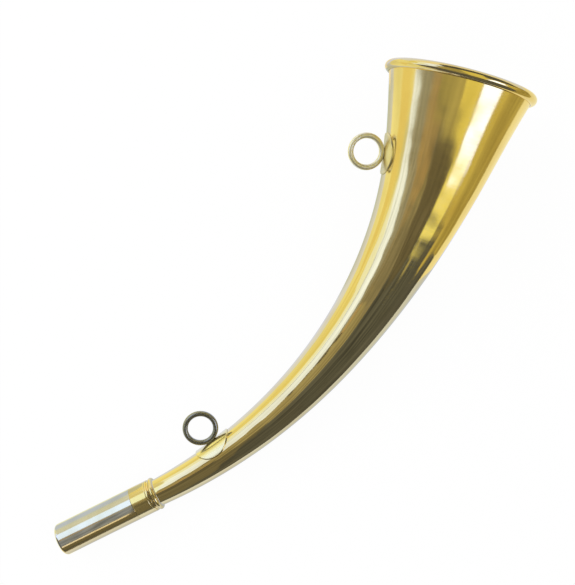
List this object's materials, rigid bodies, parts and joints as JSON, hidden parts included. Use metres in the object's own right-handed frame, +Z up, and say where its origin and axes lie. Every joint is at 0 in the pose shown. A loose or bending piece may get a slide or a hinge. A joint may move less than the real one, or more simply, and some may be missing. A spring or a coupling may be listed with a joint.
{
  "type": "reed horn",
  "caption": "Curved brass reed horn: a tapered tube bent in one plane, flared to a beaded bell, with a push-on nickel-plated mouthpiece over a beating reed and cord rings on saddle plates.",
  "frame": {"origin": "on the surface that the horn lies on, under the middle of its box at rest", "axes": "+Z up, +X from the mouthpiece to the bell along the longest extent, +Y towards the inner side of the bend, where the cord rings are"},
  "size_m": [0.236, 0.0638, 0.0536],
  "materials": {
    "polished_brass": "mirror polished sheet brass",
    "ring_brass": "drawn wire, polished and slightly tarnished",
    "turned_brass": "turned and polished",
    "reed_brass": "filed satin",
    "nickel_plate": "nickel plated brass tube, polished"
  },
  "bodies": {
    "horn": {"horn_body": "polished_brass", "rim_bead": "polished_brass", "lower_ring_plate": "polished_brass", "upper_ring_plate": "polished_brass", "lower_ring": "ring_brass", "upper_ring": "ring_brass", "collar": "turned_brass", "reed_plug": "turned_brass", "reed_shallot": "reed_brass", "reed_clamp": "turned_brass"},
    "mouthpiece": {"mouthpiece_tube": "nickel_plate"},
    "reed": {"reed_tongue": "reed_brass"}
  },
  "joints": [
    {"name": "mouthpiece_pull", "type": "slide", "parent": "horn", "child": "mouthpiece", "axis": [-0.926, 0.3773, 0.0105], "range_m": [0, 0.031]},
    {"name": "reed_flex", "type": "hinge", "parent": "horn", "child": "reed", "pos_m": [-0.1011, 0.00076, 0.00749], "axis": [-0.3669, -0.8934, -0.2594], "range_deg": [-2.3, 2.3], "stiffness_Nm_per_rad": 0.16}
  ]
}
